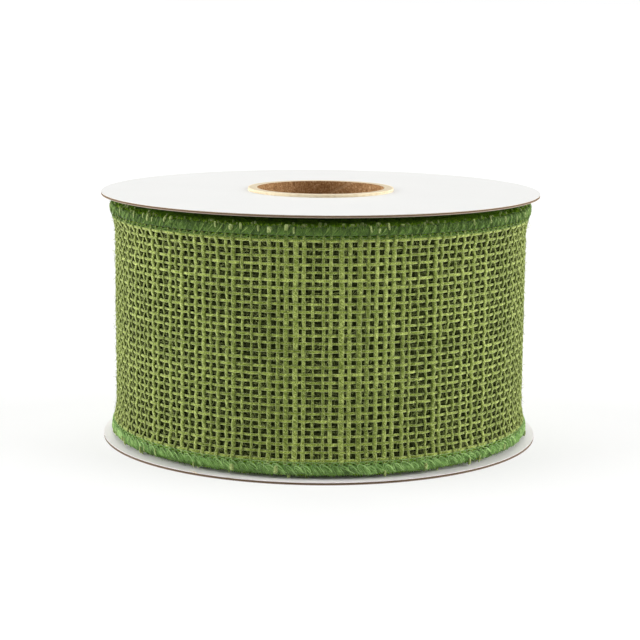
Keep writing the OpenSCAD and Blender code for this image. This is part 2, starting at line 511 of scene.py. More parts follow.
def makeThread(name, shade, blue=1.0, gloss=0.35):
    # The overlock thread, fine and slightly shiny. shade scales the whole colour: above 1 it is
    # painted light, below 1 painted shade. blue scales that part of its colour alone.
    material, tree, shader = newMaterial(name, Roughness=0.6, Sheen_Weight=gloss * 0.6,
                                         Sheen_Roughness=0.4, Specular_IOR_Level=gloss)
    tint = Num(tree, add(tree, "ShaderNodeAttribute", attribute_name="tint").outputs["Fac"])
    streak = noise(tree, fibrePlace(tree, 1.2, 1.4, 0.5), 1.0, 2.0)
    patch = noise(tree, objectPlace(tree), 500.0, 2.0)
    factor = streak * 0.28 + patch * 0.16 + tint * 0.46 + 0.27
    colour = colourSteps(tree, factor, (0.2, (34, 56, 12 * blue)), (0.5, (110, 150, 68 * blue)),
                         (0.8, (192, 222, 146 * blue)), shade=shade)
    finish(tree, shader, colour, streak, 0.5, 0.00008)
    return material


def makeWhitePaper(name, edgeShade, tone=(221, 221, 219)):
    # White paper whose cut edge is browned towards the board's colour, as painted shade: 0 leaves
    # it white, 1 makes it as dark as the board
    material, tree, shader = newMaterial(name, Roughness=0.5, Specular_IOR_Level=0.4)
    place = objectPlace(tree)
    cloud = noise(tree, place, 45.0, 3.0, 0.55)
    fibre = noise(tree, place, 2600.0, 2.0, 0.6)
    factor = cloud * 0.35 + fibre * 0.25 + 0.5
    lighter = [part * 1.03 for part in tone]
    colour = colourSteps(tree, factor, (0.0, tone), (1.0, lighter))
    normal = add(tree, "ShaderNodeNewGeometry").outputs["Normal"]
    onEdge = 1.0 - split(tree, normal)[2].absolute().ramp(0.3, 0.6)
    colour = blendColours(tree, onEdge * edgeShade, colour, paint(112, 92, 74))
    finish(tree, shader, colour, fibre * 0.6 + cloud * 0.4, 0.12, 0.00006)
    return material


def makeChipboard(name, glueZ, shade):
    # Grey board, with a darker line where its two plies are glued. shade scales the colours, as
    # painted shade below 1.
    material, tree, shader = newMaterial(name, Roughness=0.88, Specular_IOR_Level=0.2)
    x, y, z = split(tree, objectPlace(tree))
    layers = noise(tree, vector(tree, x * 350.0, y * 350.0, z * 9000.0), 1.0, 3.0, 0.6)
    specks = noise(tree, vector(tree, x * 2500.0, y * 2500.0, z * 6000.0), 1.0, 2.0, 0.6)
    factor = layers * 0.35 + specks * 0.3 + 0.5
    board = colourSteps(tree, factor, (0.1, (108, 88, 68)), (0.5, (160, 140, 115)),
                        (0.9, (196, 180, 154)), shade=shade)
    glue = 1.0 - ((z - glueZ).absolute() + specks * 0.00003).ramp(0.00008, 0.0002)
    colour = blendColours(tree, glue * 0.85, board, paint(82, 58, 40))
    finish(tree, shader, colour, layers * 0.5 + specks * 0.3 - glue, 0.5, 0.00012)
    return material


def makeKraft():
    # The innermost ply of the tube, with the seam of its winding
    material, tree, shader = newMaterial("kraftPaper", Roughness=0.8, Specular_IOR_Level=0.25)
    x, y, z = split(tree, objectPlace(tree))
    turn = y.calc("ARCTAN2", x)
    mottle = noise(tree, objectPlace(tree), 800.0, 4.0, 0.65)
    fibre = noise(tree, objectPlace(tree), 2400.0, 2.0)
    seamPhase = (turn / (2 * math.pi) + z / 0.052).calc("FRACT")
    seam = 1.0 - (seamPhase - 0.5).absolute().ramp(0.004, 0.012)
    factor = mottle * 0.5 + fibre * 0.5 + 0.48
    colour = colourSteps(tree, factor, (0.1, (102, 68, 36)), (0.5, (164, 122, 77)),
                         (0.9, (212, 177, 134)))
    colour = blendColours(tree, seam * 0.3, colour, paint(206, 172, 130))
    finish(tree, shader, colour, mottle * 0.3 + fibre * 0.4 - seam, 0.5, 0.0001)
    return material


def makeTubeBoard():
    # The cut end of the tube shows its plies as fine rings
    material, tree, shader = newMaterial("tubeBoard", Roughness=0.85, Specular_IOR_Level=0.25)
    x, y, z = split(tree, objectPlace(tree))
    radius = (x * x + y * y).calc("SQRT")
    turn = y.calc("ARCTAN2", x)
    wobble = noise(tree, vector(tree, x * 90.0, y * 90.0, 0.0), 1.0, 2.0)
    onRings = vector(tree, radius * 5200.0 + wobble * 0.4, turn * 0.8, z * 900.0)
    rings = noise(tree, onRings, 1.0, 2.0, 0.7)
    specks = noise(tree, objectPlace(tree), 2600.0, 2.0)
    factor = rings * 0.4 + specks * 0.25 + 0.5
    colour = colourSteps(tree, factor, (0.1, (180, 162, 132)), (0.5, (204, 190, 163)),
                         (0.9, (218, 206, 182)))
    finish(tree, shader, colour, rings * 0.6 + specks * 0.4, 0.6, 0.00012)
    return material


def makeTubeWrap():
    material, tree, shader = newMaterial("tubeWrap", Roughness=0.75, Specular_IOR_Level=0.3)
    x, y, z = split(tree, objectPlace(tree))
    plies = noise(tree, vector(tree, x * 60.0, y * 60.0, z * 5200.0), 1.0, 2.0, 0.7)
    mottle = noise(tree, objectPlace(tree), 800.0, 3.0)
    factor = plies * 0.6 + mottle * 0.3 + 0.5
    colour = colourSteps(tree, factor, (0.1, (190, 164, 122)), (0.5, (234, 217, 184)),
                         (0.9, (246, 234, 208)))
    finish(tree, shader, colour, plies * 0.5 + mottle * 0.4, 0.5, 0.0001)
    return material


def makeSteel():
    material, tree, shader = newMaterial("edgeWire", Metallic=1.0)
    x, y, z = split(tree, objectPlace(tree))
    drawn = noise(tree, vector(tree, x * 900.0, y * 900.0, z * 4000.0), 1.0, 2.0)
    colour = colourSteps(tree, drawn * 0.4 + 0.5, (0.1, (132, 130, 124)),
                         (0.9, (196, 195, 190)))
    tree.links.new(colour, shader.inputs["Base Color"])
    feed(tree, shader.inputs["Roughness"], drawn * 0.1 + 0.34)
    return material


def makeTape():
    # Clear film, milky where it doesn't touch
    material, tree, shader = newMaterial("clearTape", Alpha=0.13, Roughness=0.12, Coat_Weight=0.5,
                                         Coat_Roughness=0.1, Specular_IOR_Level=0.6)
    place = objectPlace(tree)
    cloud = noise(tree, place, 380.0, 3.0)
    colour = colourSteps(tree, cloud * 0.4 + 0.5, (0.1, (206, 208, 196)),
                         (0.9, (240, 240, 236)))
    finish(tree, shader, colour, cloud, 0.2, 0.00008)
    return material


def makeFloor():
    material, tree, shader = newMaterial("floorPaint", Roughness=0.9, Specular_IOR_Level=0.1)
    cloud = noise(tree, objectPlace(tree), 3.0, 2.0)
    colour = colourSteps(tree, cloud * 0.3 + 0.5, (0.0, (158, 158, 158)),
                         (1.0, (161, 161, 161)))
    tree.links.new(colour, shader.inputs["Base Color"])
    shader.inputs["Emission Color"].default_value = (1.0, 1.0, 1.0, 1.0)
    shader.inputs["Emission Strength"].default_value = view["floorGlow"]
    floor = bpy.data.objects.new("studioFloor", bpy.data.meshes.new("studioFloor"))
    scene.collection.objects.link(floor)
    shape = bmesh.new()
    bmesh.ops.create_grid(shape, x_segments=8, y_segments=8, size=40.0)
    shape.to_mesh(floor.data)
    shape.free()
    floor.data.materials.append(material)


juteCloth = makeJute("juteCloth", 1.0)
# Painted shade: the same jute made darker and with little sheen, for the second turn seen through
# the holes of the outer one, and for cloth nodes without a finish of their own
deepJute = makeJute("deepJute", 0.52, 0.15)
cutYarn = makeJute("cutYarn", 0.96, 0.96, ("cut", "cut"))
# Lit and shaded copies of one thread. Painted light: the lower bindings' thread and the loose
# threads are made lighter, as if lit from below
overlockThread = makeThread("overlockThread", 1.13)
# Painted shade: the upper bindings' thread is made darker and less blue, for the shade under the
# upper flange
upperThread = makeThread("upperThread", 0.86, 0.82, 0.25)
# Painted light: the inner turns' thread is made lighter, less blue and almost without gloss, to
# lift the shade where their edges lie
deepThread = makeThread("deepThread", 1.2, 0.5, 0.03)
# Painted shade: the upper flange's top is the white paper made a little darker than the underside
# copy, where the lamps light it most
topPaper = makeWhitePaper("topPaper", 0.05, (213, 213, 211))
# Painted light: the lower flange's top is the white paper made lighter and slightly pink, to lift
# the roll's shade and cancel the green light bounced off the ribbon
shadedPaper = makeWhitePaper("shadedPaper", 0.05, (248, 242, 246))
# Painted shade: the liners that face down have their cut edges browned, as they face away from the
# light
underPaper = makeWhitePaper("underPaper", 0.8)
kraftPaper = makeKraft()
tubeBoard = makeTubeBoard()
tubeWrap = makeTubeWrap()
edgeWire = makeSteel()
clearTape = makeTape()
makeFloor()


def finishNodes():
    # Gives each node its own finish
    finishes = {
        "core_kraft_liner": kraftPaper, "core_board": tubeBoard, "core_outer_wrap": tubeWrap,
        "upper_flange_outer_liner": topPaper, "lower_flange_inner_liner": shadedPaper,
        "upper_flange_inner_liner": underPaper, "lower_flange_outer_liner": underPaper,
    }
    # Painted shade: the lower flange's board is made darker than the upper one's
    for flange, glued, shade in (("lower", 0, 0.78), ("upper", 1, 1.0)):
        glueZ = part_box(f"{flange}_flange_inner_board")[glued].z
        board = makeChipboard(f"{flange}Chipboard", glueZ, shade)
        finishes[f"{flange}_flange_inner_board"] = board
        finishes[f"{flange}_flange_outer_board"] = board
    for name, node in frame["nodes"].items():
        if name.endswith("wire"):
            material = edgeWire
        elif "tape" in name:
            material = clearTape
        else:
            material = finishes.get(name, deepJute)
        node.data.materials.clear()
        node.data.materials.append(material)


finishNodes()
print("finishes")


# Cloth

cloth = {
    "rows": 29,             # yarns that run along the ribbon
    "firstRow": 3.5,        # height of the lowest of them above the ribbon's edge
    "lastRow": 59.9,
    "weftWidth": 1.04, "weftHeight": 0.46,
    "warpWidth": 0.76, "warpHeight": 0.46,
    "wave": 0.24,           # how far a yarn swings over and under the ones it crosses
    "weftLow": 1.2, "weftHigh": 62.3,
    "weftDive": 0.34, "divesFrom": 3.3,     # under the binding, this near the edge
}
warpPitch = (cloth["lastRow"] - cloth["firstRow"]) / (cloth["rows"] - 1)


def makeClothTree(material):
    # Plain weave: every yarn is a tube that goes over and under the ones it crosses
    tree, inputs, size = newTree("Woven Cloth", {
        "First Yarn": -28, "Yarn Count": 8, "Rows": cloth["rows"], "Points Per Crossing": 3,
        "Sides": 6, "Weft Pitch": weftPitch, "Warp Pitch": warpPitch,
        "First Row": cloth["firstRow"], "Wave": cloth["wave"], "Slub": 0.37, "Wander": 0.3,
        "Fray": 0.0,
    })
    pitch, rows, perCrossing = size["Weft Pitch"], size["Rows"], size["Points Per Crossing"]

    def clearOfBinding(y):
        # 1 on the open cloth and 0 under the bound edges
        fromEdge = y.least(ribbonWidth - y)
        return fromEdge.ramp(cloth["divesFrom"] - 0.9, cloth["divesFrom"])

    def weftHeight(share):
        return share * (cloth["weftHigh"] - cloth["weftLow"]) + cloth["weftLow"]

    def weftPlace(strand, share):
        yarn = size["First Yarn"] + strand
        y = weftHeight(share)
        wander = noise(tree, vector(tree, yarn * 3.7, y * 0.1, 0.0), 1.0, 2.0) * size["Wander"]
        drift = (yarn.chance(1.0) - 0.5) * size["Wander"] * 1.6
        x = (yarn + 0.5) * pitch + wander + drift
        z = (((y - size["First Row"]) / size["Warp Pitch"] + yarn) * math.pi).cos()
        return x, y, z * size["Wave"] - (1.0 - clearOfBinding(y)) * cloth["weftDive"]

    def weftThickness(strand, share):
        yarn = size["First Yarn"] + strand
        slub = noise(tree, vector(tree, yarn * 5.3, share * 9.0, 4.0), 1.0, 2.0) * size["Slub"]
        own = (yarn.chance(2.0) - 0.5) * size["Slub"] * 2.1
        return (slub + own + 1.0) * (clearOfBinding(weftHeight(share)) * 0.45 + 0.55)

    def warpPlace(strand, share):
        x = (size["First Yarn"] + share * size["Yarn Count"]) * pitch
        x = x + share.ramp(0.8, 1.0) * strand.chance(11.0) * size["Fray"]
        wander = noise(tree, vector(tree, x * 0.09, strand * 4.1, 9.0), 1.0, 2.0) * size["Wander"]
        y = size["First Row"] + strand * size["Warp Pitch"] + wander * 0.8
        z = ((x / pitch - 0.5 + strand) * math.pi).cos()
        return x, y, z * size["Wave"] * -1.0

    def warpThickness(strand, share):
        x = size["First Yarn"] * pitch + share * size["Yarn Count"] * pitch
        slub = noise(tree, vector(tree, x * 0.16, strand * 6.7, 2.0), 1.0, 2.0) * size["Slub"] * 0.7
        own = (strand.chance(7.0) - 0.5) * size["Slub"] * 0.6
        return slub + own + 1.0

    weft = strands(tree, size["Yarn Count"], rows * perCrossing + 1.0, weftPlace, weftThickness,
                   cloth["weftWidth"], cloth["weftHeight"], size["Sides"],
                   lambda strand: (size["First Yarn"] + strand).chance(3.0) * 0.999,
                   band=(0.0, 0.6))
    warp = strands(tree, rows, size["Yarn Count"] * perCrossing + 1.0, warpPlace, warpThickness,
                   cloth["warpWidth"], cloth["warpHeight"], size["Sides"],
                   lambda strand: strand.chance(5.0) + 1.0, band=(0.6, 1.0))
    closeTree(tree, [weft, warp], material)
    return tree


clothTree = makeClothTree(juteCloth)
deepClothTree = makeClothTree(deepJute)


def layCloth(name, first, count, restsOn, tree=clothTree, **values):
    # One length of woven cloth on the roll, from yarn first, counted from the free end
    piece = runTree(tree, name, {"First Yarn": first, "Yarn Count": count,
                                 **{key.replace("_", " "): value for key, value in values.items()}})
    count * weftPitch * mm
    return piece


# Yarns of the outermost turn, from the root of the free end round to under it
sectors = (("A", 43), ("B", 43), ("C", 42))
tailYarns = 27
turnYarns = sum(count for letter, count in sectors) + tailYarns
firstYarn = -tailYarns
for letter, count in sectors:
    firstYarn -= count
    sector = layCloth(f"outerTurnCloth{letter}", firstYarn, count, ["secondTurnCloth"])
    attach(sector, "spool")
    if letter == "A":
        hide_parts("outer_turn_cloth")
underTail = layCloth("underTailCloth", firstYarn - tailYarns - 1, tailYarns + 1,
                     ["innerTurnsCloth"], Points_Per_Crossing=2)
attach(underTail, "spool")
secondYarns = 156
secondTurn = layCloth("secondTurnCloth", firstYarn - tailYarns - 1 - secondYarns, secondYarns,
                      ["innerTurnsCloth"],
                      tree=deepClothTree, Points_Per_Crossing=2, Sides=4,
                      First_Row=cloth["firstRow"] + 0.75)
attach(secondTurn, "spool")
print("woven turns")


# Bound edges

selvage = {
    "reach": 2.5,          # how far in from the edge the binding comes
    "halfThickness": 0.58,
    "filaments": 14,        # in each stitch
    "loopWidth": 0.15, "loopLow": -0.25, "loopHigh": 2.66,
    "lean": 0.75,           # of a stitch, in stitches
    "spread": 1.12,
    "filamentWidth": 0.15, "filamentHeight": 0.17,
    "chainWidth": 0.14, "chainHeight": 3.0,
    "coreHeight": 1.2, "coreWidth": 2.1, "coreDepth": 0.86,
    "fuzzWidth": 0.085,
    "stubWidth": 0.95, "stubDepth": 0.6,    # a cut end of the cloth's own yarn
}


def makeSelvageTree(material, yarnMaterial):
    # The thread that binds an edge: fans of fine filaments round the edge, a chain along their
    # inner border, loose fuzz, and the blunt cut ends of the cloth's own yarns
    tree, inputs, size = newTree("Bound Edge", {
        "First Stitch": -28, "Stitch Count": 8, "Filaments": selvage["filaments"],
        "Points": 8, "Upper": 0.0, "Ribbon Width": ribbonWidth, "Pitch": weftPitch,
        "Lean": selvage["lean"], "Fuzz": 8, "Fuzz Length": 1.0, "Stub Share": 0.6, "Ragged": 0.12,
        "Detail": 3, "Sag": 0.0, "Rim Light": 0.3, "Loops": 2,
    })
    upper, pitch = size["Upper"], size["Pitch"]
    seed = upper * 57.0

    def fromEdge(y):
        # Mirrors a height above the lower edge to a depth below the upper one
        return upper * size["Ribbon Width"] + (1.0 - upper * 2.0) * (y - size["Sag"])

    def filamentPlace(strand, share):
        filaments = size["Filaments"]
        own = (strand / filaments).floor()
        stitch = own + size["First Stitch"]
        fan = (strand - own * filaments) / (filaments - 1.0) - 0.5
        turn = share * math.pi
        bow = turn.sin().most(0.0)
        front = turn.cos()
        lean = size["Lean"] * (1.0 + stitch.jitter(seed + 1.0, 0.5))
        spread = selvage["spread"] * (1.0 + stitch.jitter(seed + 2.0, 0.5))
        single = strand + size["First Stitch"] * filaments
        stray = single.chance(seed + 3.0) - 0.5
        opened = (bow * 1.4).least(1.0) ** 0.5 * 0.82 + 0.18
        across = lean * bow ** 0.6 + (fan + stray * 0.14) * spread * opened
        x = (stitch + 0.5 + across + stitch.jitter(seed + 4.0, 0.3)) * pitch
        rag = (single.chance(seed + 5.0) - 0.5) * size["Ragged"]
        ragged = (stitch.chance(seed + 6.0) - 0.5) * size["Ragged"]
        depth = selvage["reach"] + stitch.jitter(seed + 7.0, 0.3) - fan * fan * 2.2
        y = depth * (1.0 - bow ** 0.7) + (rag + ragged) * bow * 2.0
        proud = 1.0 + fan * 0.3 + stray * 0.24
        z = front.calc("SIGN") * front.absolute() ** 0.62 * proud
        return x, fromEdge(y), z * selvage["halfThickness"]

    def filamentThickness(strand, share):
        ends = (share - 0.5).absolute().ramp(0.5, 0.36, 0.55, 1.0)
        return ends * (0.8 + strand.chance(seed + 8.0) * 0.4)

    def filamentTint(strand):
        # The last filaments of a stitch lie over the next one and catch the light
        own = (strand / size["Filaments"]).floor()
        share = (strand - own * size["Filaments"]) / size["Filaments"]
        rim = share ** 3.0 * size["Rim Light"]
        return (strand.chance(seed + 9.0) * 0.6 + rim).least(0.999)

    filaments = strands(tree, size["Stitch Count"] * size["Filaments"], size["Points"],
                        filamentPlace, filamentThickness,
                        selvage["filamentWidth"], selvage["filamentHeight"], 4, filamentTint,
                        band=(0.2, 0.62), columns=8.0, normals="MINIMUM_TWIST")

    def loopPlace(strand, share):
        # The outermost thread of each stitch, which comes up, over and down like the edge of a leaf
        own = (strand / size["Loops"]).floor()
        stitch = own + size["First Stitch"]
        inner = strand - own * size["Loops"]
        turn = (1.0 - share) * (math.pi * 1.24) - math.pi * 0.12
        middle = (selvage["loopHigh"] + selvage["loopLow"]) / 2
        half = (selvage["loopHigh"] - selvage["loopLow"]) / 2 * (1.0 - inner * 0.24)
        lean = size["Lean"] * (1.0 + stitch.jitter(seed + 1.0, 0.5))
        rise = stitch.jitter(seed + 41.0, 0.3)
        y = turn.sin() * half + middle - inner * 0.1 + rise
        sheared = lean * (1.0 - y / selvage["loopHigh"]) + inner * 0.06
        wide = 0.5 + stitch.jitter(seed + 42.0, 0.2) - inner * 0.12
        drift = stitch.jitter(seed + 4.0, 0.3)
        x = stitch + 0.55 + sheared + turn.cos() * wide + drift
        bow = (1.0 - y / selvage["reach"]).most(0.0) ** 1.4
        front = (1.0 - bow * bow).most(0.02) ** 0.31
        z = front * selvage["halfThickness"] * 1.04 + turn.cos() * 0.05
        return x * pitch, fromEdge(y), z

    loops = strands(tree, size["Stitch Count"] * size["Loops"], 11.0, loopPlace,
                    lambda strand, share: 0.75 + strand.chance(seed + 43.0) * 0.5,
                    selvage["loopWidth"], selvage["loopWidth"], 4,
                    lambda strand: strand.chance(seed + 44.0) * 0.4 + 0.5,
                    band=(0.0, 0.2), columns=8.0, normals="MINIMUM_TWIST")

    def corePlace(strand, share):
        x = (size["First Stitch"] + share * size["Stitch Count"]) * pitch
        return x, fromEdge(selvage["coreHeight"]), 0.0

    core = strands(tree, 1.0, size["Stitch Count"] * size["Detail"] + 1.0, corePlace, evenly,
                   selvage["coreWidth"], selvage["coreDepth"], 10, lambda strand: 0.28,
                   band=(0.62, 0.66))

    def chainPlace(strand, share):
        # Two strands on the front and two on the back: one straight, one in arches
        back = (strand / 2.0).floor()
        arched = strand - back * 2.0
        along = size["First Stitch"] + share * size["Stitch Count"]
        wander = noise(tree, vector(tree, along * 0.8, strand * 3.0, seed + 5.0), 1.0, 2.0) * 0.1
        arch = (along * math.pi).sin().absolute() ** 0.7
        y = selvage["chainHeight"] + arch * 0.16 - arched * (arch * 0.7 - 0.06) + wander * 0.6
        z = (1.0 - back * 2.0) * (0.44 + arched * arch * 0.06)
        return along * pitch, fromEdge(y), z

    def chainThickness(strand, share):
        along = size["First Stitch"] + share * size["Stitch Count"]
        return 1.0 + noise(tree, vector(tree, along * 1.3, strand * 5.0, 3.0), 1.0, 2.0) * 0.3

    chainPoints = size["Stitch Count"] * size["Detail"] * 2.0 + 1.0
    chain = strands(tree, 4.0, chainPoints, chainPlace, chainThickness,
                    selvage["chainWidth"], selvage["chainWidth"], 5,
                    lambda strand: 0.6 - strand * 0.05, band=(0.66, 0.7))

    def fuzzPlace(strand, share):
        # Loose filaments that stand up along the edge
        own = strand + size["First Stitch"] * size["Fuzz"]
        stitch = own / size["Fuzz"]
        side = own.chance(seed + 12.0)
        long = (0.35 + own.chance(seed + 13.0) * 0.9) * size["Fuzz Length"]
        low = own.chance(seed + 14.0) ** 0.8 * 2.2
        bend = own.jitter(seed + 15.0, 1.6)
        sway = (bend * share + bend * share * share) * 0.5
        x = (stitch + own.chance(seed + 16.0)) * pitch + sway
        y = low - share * long
        start = 0.6 - side * 0.35
        z = start * (1.0 - share * 0.15) + share * (own.chance(seed + 17.0) - 0.2) * 0.5
        z = z - y.ramp(0.5, -0.6) * start * side * 1.3
        return x, fromEdge(y), z

    fuzz = strands(tree, size["Stitch Count"] * size["Fuzz"], 4.0, fuzzPlace,
                   lambda strand, share: 1.1 - share * 0.7,
                   selvage["fuzzWidth"], selvage["fuzzWidth"], 3,
                   lambda strand: strand.chance(seed + 18.0) * 0.999,
                   band=(0.7, 0.9), columns=12.0, normals="MINIMUM_TWIST")

    def standsOut(yarn):
        # 1 for a cut end that stands out of the binding and 0 for one that stays inside
        return 1.0 - (yarn.chance(seed + 21.0) - size["Stub Share"]).calc("GREATER_THAN", 0.0)

    def stubPlace(strand, share):
        yarn = strand + size["First Stitch"]
        shown = standsOut(yarn)
        drift = yarn.jitter(seed + 22.0, 0.9)
        sway = yarn.jitter(seed + 23.0, 0.7)
        x = (yarn + 0.5) * pitch + drift + sway * share
        long = 1.2 + yarn.chance(seed + 25.0) * 0.7
        top = 0.35 - yarn.chance(seed + 24.0) * 1.2
        y = (top + (1.0 - share) * long) * shown + (1.0 - shown) * (0.9 + share * 0.7)
        z = (0.66 - share * share * 0.3) * shown
        return x, fromEdge(y), z

    def stubThickness(strand, share):
        yarn = strand + size["First Stitch"]
        shown = standsOut(yarn)
        body = (0.6 + share * 0.45 - share.ramp(0.85, 1.0) * 0.35) * (shown * 0.7 + 0.3)
        return body * (0.65 + yarn.chance(seed + 26.0) ** 2.0 * 0.9)

    stubs = strands(tree, size["Stitch Count"], 5.0, stubPlace, stubThickness,
                    selvage["stubWidth"], selvage["stubDepth"], 6,
                    lambda strand: strand.chance(seed + 27.0) * 0.999,
                    band=(0.9, 1.0), columns=4.0)
    thread = [filaments, loops, core, chain, fuzz]
    joined = add(tree, "GeometryNodeJoinGeometry")
    for part in reversed(thread):
        tree.links.new(part, joined.inputs[0])
    bound = add(tree, "GeometryNodeSetMaterial",
                {"Geometry": joined.outputs[0], "Material": material}).outputs[0]
    cut = add(tree, "GeometryNodeSetMaterial",
              {"Geometry": stubs, "Material": yarnMaterial}).outputs[0]
    closeTree(tree, [bound, cut], None)
    return tree


edgeTrees = {"Lower": makeSelvageTree(overlockThread, cutYarn),
             "Upper": makeSelvageTree(upperThread, cutYarn)}
deepSelvageTree = makeSelvageTree(deepThread, cutYarn)
selvageLook = {
    "Lower": {"Upper": 0.0, "Lean": selvage["lean"], "Fuzz": 10, "Fuzz Length": 0.9,
              "Stub Share": 0.2, "Ragged": 0.24, "Loops": 2},
    "Upper": {"Upper": 1.0, "Lean": 0.15, "Fuzz": 20, "Fuzz Length": 0.9, "Stub Share": 0.4,
              "Ragged": 0.26, "Loops": 0, "Rim Light": 0.45},
}


def bindEdge(name, side, first, count):
    piece = runTree(edgeTrees[side], name,
                    {"First Stitch": first, "Stitch Count": count, **selvageLook[side]})
    return piece


for side in ("Lower", "Upper"):
    firstYarn = -tailYarns
    for letter, count in sectors:
        firstYarn -= count
        edge = bindEdge(f"outerTurn{side}Edge{letter}", side, firstYarn, count)
        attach(edge, "spool")
        if letter == "A":
            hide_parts(f"outer_turn_{side.lower()}_thread")
    edge = bindEdge(f"underTail{side}Edge", side, firstYarn - tailYarns, tailYarns)
    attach(edge, "spool")
print("bound edges")


# Hairs of the yarns

hairs = {
    "perYarn": 84,
    "shortest": 0.6, "longest": 3.2,
    "width": 0.09,
    "curl": 2.6,                        # radians of bend, over the hair's length
    "lowest": 3.2, "highest": 60.2,     # above the ribbon's lower edge
}


def makeHairTree(material):
    # Loose jute fibres that lie over the holes or stand off the cloth
    tree, inputs, size = newTree("Loose Fibres", {
        "First Yarn": -28, "Yarn Count": 8, "Per Yarn": hairs["perYarn"], "Pitch": weftPitch,
        "Shortest": hairs["shortest"], "Longest": hairs["longest"], "Width": hairs["width"],
    })

    def place(strand, share):
        own = strand + size["First Yarn"] * size["Per Yarn"]
        x = (own / size["Per Yarn"] + own.chance(31.0)) * size["Pitch"]
        y = own.chance(32.0) * (hairs["highest"] - hairs["lowest"]) + hairs["lowest"]
        longer = own.chance(33.0) ** 1.7
        long = size["Shortest"] + (size["Longest"] - size["Shortest"]) * longer
        heading = own.chance(34.0) * (2 * math.pi)
        curl = own.jitter(35.0, hairs["curl"])
        turn = heading + curl * share
        reach = long * (share - 0.5)
        low = own.chance(36.0) * 0.75 - 0.3
        stand = own.chance(37.0) ** 4.0 * 1.3
        z = low + (share * math.pi).sin() * 0.16 + share * share * stand
        return x + turn.cos() * reach, y + turn.sin() * reach, z

    fibres = strands(tree, size["Yarn Count"] * size["Per Yarn"], 4.0, place,
                     lambda strand, share: 1.1 - share * 0.6, size["Width"], size["Width"], 3,
                     lambda strand: strand.chance(38.0) + 1.0, columns=12.0,
                     normals="MINIMUM_TWIST")
    closeTree(tree, [fibres], material)
    return tree


hairTree = makeHairTree(juteCloth)


def layHairs(name, first, count):
    piece = runTree(hairTree, name, {"First Yarn": first, "Yarn Count": count})
    return piece


firstYarn = -tailYarns
for letter, count in sectors:
    firstYarn -= count
    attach(layHairs(f"outerTurnFibres{letter}", firstYarn, count), "spool")
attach(layHairs("underTailFibres", firstYarn - tailYarns, tailYarns), "spool")
print("fibres")


# The turns below the two that are woven

wound = {
    "clothThickness": 0.5,
    "margins": 3.6,         # of the ribbon's width that the strip leaves to the bound edges
    "beadHeight": 2.5, "beadDepth": 0.92,
    "boundTurns": 4,        # whose binding has its own filaments
    "lowerBoundTurns": 2,
    "sag": 0.55,            # of their lower edges, towards the flange
}
spiralStart = firstYarn - tailYarns - 1 - secondYarns
wholeTurns = (clothRadius - coreRadius - 0.9) / roll["turnLift"]
spiralEnd = -(wholeTurns + 1) * turnYarns


def makeLengthTree(name, material, sizes, heightAt, sides, count=1.0, tint=0.5):
    # Strands along the ribbon from First Yarn to Last Yarn. heightAt gives their height across it.
    tree, inputs, size = newTree(name, {"Pitch": weftPitch, "Ribbon Width": ribbonWidth, **sizes})

    def place(strand, share):
        x = (size["First Yarn"] + share * (size["Last Yarn"] - size["First Yarn"])) * size["Pitch"]
        return x, heightAt(tree, size, strand, x), 0.0

    laid = strands(tree, count, size["Points"], place, evenly, size["Wide"], size["Thick"], sides,
                   lambda strand: tint)
    closeTree(tree, [laid], material)
    return tree


def stripHeight(tree, size, strand, x):
    return size["Ribbon Width"] * 0.5


def beadHeight(tree, size, strand, x):
    upper = size["Upper"]
    wander = noise(tree, vector(tree, x * 0.02, upper * 31.0, 0.0), 1.0, 3.0) * 0.45
    return upper * size["Ribbon Width"] + (1.0 - upper * 2.0) * (1.35 + wander - size["Sag"])


def makeShadedWoundCloth():
    # Weave drawn on the strip, which shows only through the holes of the two turns over it. Painted
    # shade: its yarns are drawn dark olive and the gaps between them near black, for the shade deep
    # in the roll
    material, tree, shader = newMaterial("woundJute", Roughness=0.9, Specular_IOR_Level=0.05)
    fibre = add(tree, "ShaderNodeAttribute", attribute_name="fibre")
    around, side, length = split(tree, fibre.outputs["Vector"])
    x, y, z = split(tree, objectPlace(tree))
    wander = noise(tree, objectPlace(tree), 260.0, 2.0) * 0.5
    rows = (z / (warpPitch * mm) * math.pi + wander).sin().absolute()
    columns = (length / weftPitch * math.pi + wander).sin().absolute()
    yarn = rows.most(columns).ramp(0.62, 0.86)
    mottle = noise(tree, objectPlace(tree), 900.0, 3.0)
    thread = colourSteps(tree, mottle * 0.5 + 0.5, (0.15, (34, 42, 12)), (0.85, (88, 100, 46)))
    # painted shade: near black between the drawn yarns
    colour = blendColours(tree, yarn, paint(20, 24, 8), thread)
    finish(tree, shader, colour, yarn, 0.8, 0.0003)
    return material


